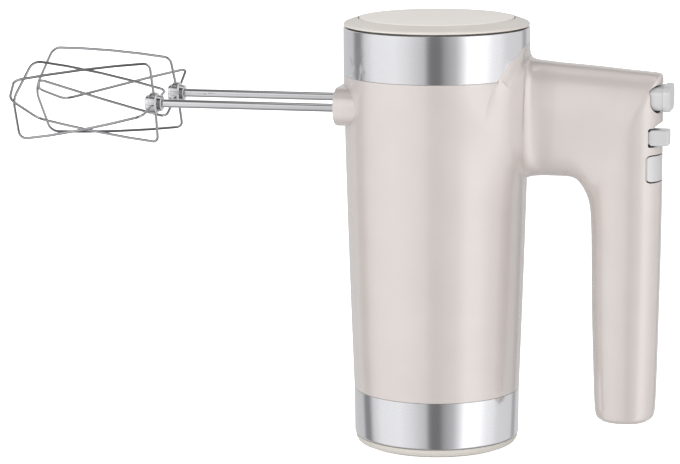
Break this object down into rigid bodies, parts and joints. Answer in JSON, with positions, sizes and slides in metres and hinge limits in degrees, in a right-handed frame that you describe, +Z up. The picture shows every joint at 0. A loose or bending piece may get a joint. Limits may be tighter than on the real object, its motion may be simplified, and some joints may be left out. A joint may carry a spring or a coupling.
{
  "type": "hand mixer",
  "caption": "Upright cylindrical hand mixer with a hooked grip, polished bands, push, slide and turbo controls, worm-driven spindles and two twisted wire beaters.",
  "frame": {"origin": "centre of the base pad's underside, on the barrel's axis, at the surface that the mixer stands on", "axes": "+Z up along the barrel, -X along the beaters, +X towards the grip, +Y to the right of the grip"},
  "size_m": [0.3358, 0.0932, 0.2169],
  "materials": {
    "shell": "gloss, pearl greige",
    "cap": "satin greige",
    "ring": "polished",
    "pad": "matt",
    "steel": "machined",
    "bracket": "die cast",
    "copper": "enamelled copper wire and commutator bars",
    "bronze": "sintered bronze",
    "black_plastic": "matt black",
    "carbon": "pressed carbon",
    "nylon": "natural nylon",
    "silver": "silver satin",
    "board": "green solder mask",
    "chrome": "bright chrome"
  },
  "bodies": {
    "root": {"housing_left": "shell", "housing_right": "shell", "top_ring": "ring", "bottom_ring": "ring", "top_bezel": "cap", "cap_disc": "cap", "base_plate": "cap", "base_pad": "pad", "base_screw_1": "steel", "base_screw_2": "steel", "base_screw_3": "steel", "housing_screw_1": "steel", "housing_screw_2": "steel", "housing_screw_3": "steel", "stator_core": "steel", "field_coil_left": "copper", "field_coil_right": "copper", "end_bracket": "bracket", "lower_bearing": "bronze", "middle_bearing": "steel", "top_bush": "bronze", "brush_holder_left": "black_plastic", "brush_holder_right": "black_plastic", "brush_left": "carbon", "brush_right": "carbon", "gear_frame": "bracket", "front_bush_left": "bronze", "front_bush_right": "bronze", "ejector_spring": "steel", "control_board": "board", "speed_switch": "black_plastic", "turbo_switch": "black_plastic", "turbo_spring": "steel", "power_inlet": "black_plastic", "inlet_pin_front": "chrome", "inlet_pin_rear": "chrome"},
    "armature": {"motor_shaft": "steel", "armature_core": "steel", "commutator": "copper", "cooling_fan": "black_plastic", "worm": "steel"},
    "left_spindle": {"worm_wheel_left": "nylon", "spindle_left": "steel"},
    "right_spindle": {"worm_wheel_right": "nylon", "spindle_right": "steel"},
    "ejector": {"ejector_fork": "nylon", "eject_button": "silver"},
    "left_pin": {"ejector_pin_left": "steel"},
    "right_pin": {"ejector_pin_right": "steel"},
    "left_beater": {"beater_left_shaft": "chrome", "beater_left_hub": "chrome", "beater_left_loop_a": "chrome", "beater_left_loop_b": "chrome"},
    "right_beater": {"beater_right_shaft": "chrome", "beater_right_hub": "chrome", "beater_right_loop_a": "chrome", "beater_right_loop_b": "chrome"},
    "speed_selector": {"speed_knob": "silver"},
    "turbo": {"turbo_button": "silver"}
  },
  "joints": [
    {"name": "armature_spin", "type": "hinge", "parent": "root", "child": "armature", "pos_m": [0, 0, 0.1], "axis": [0, 0, 1], "continuous": true},
    {"name": "left_spindle_spin", "type": "hinge", "parent": "root", "child": "left_spindle", "pos_m": [0, -0.0203, 0.1722], "axis": [1, 0, 0], "continuous": true},
    {"name": "right_spindle_spin", "type": "hinge", "parent": "root", "child": "right_spindle", "pos_m": [0, 0.0203, 0.1722], "axis": [1, 0, 0], "continuous": true},
    {"name": "eject_press", "type": "slide", "parent": "root", "child": "ejector", "axis": [-1, 0, 0], "range_m": [0, 0.005], "stiffness_N_per_m": 600, "springref_m": -0.003, "deforming": ["ejector_spring"]},
    {"name": "left_pin_slide", "type": "slide", "parent": "left_spindle", "child": "left_pin", "axis": [-1, 0, 0], "range_m": [0, 0.005]},
    {"name": "right_pin_slide", "type": "slide", "parent": "right_spindle", "child": "right_pin", "axis": [-1, 0, 0], "range_m": [0, 0.005]},
    {"name": "left_beater_pull", "type": "slide", "parent": "left_pin", "child": "left_beater", "axis": [-1, 0, 0], "range_m": [0, 0.045]},
    {"name": "right_beater_pull", "type": "slide", "parent": "right_pin", "child": "right_beater", "axis": [-1, 0, 0], "range_m": [0, 0.045]},
    {"name": "speed_select", "type": "slide", "parent": "root", "child": "speed_selector", "axis": [0, 1, 0], "range_m": [0, 0.0118]},
    {"name": "turbo_press", "type": "slide", "parent": "root", "child": "turbo", "axis": [-1, 0, 0], "range_m": [0, 0.0018], "stiffness_N_per_m": 800, "springref_m": -0.001, "deforming": ["turbo_spring"]}
  ],
  "couplings": [
    {"joint": "left_spindle_spin", "follows": "armature_spin", "ratio": -0.076923},
    {"joint": "right_spindle_spin", "follows": "armature_spin", "ratio": 0.076923},
    {"joint": "left_pin_slide", "follows": "eject_press", "ratio": 1},
    {"joint": "right_pin_slide", "follows": "eject_press", "ratio": 1}
  ]
}
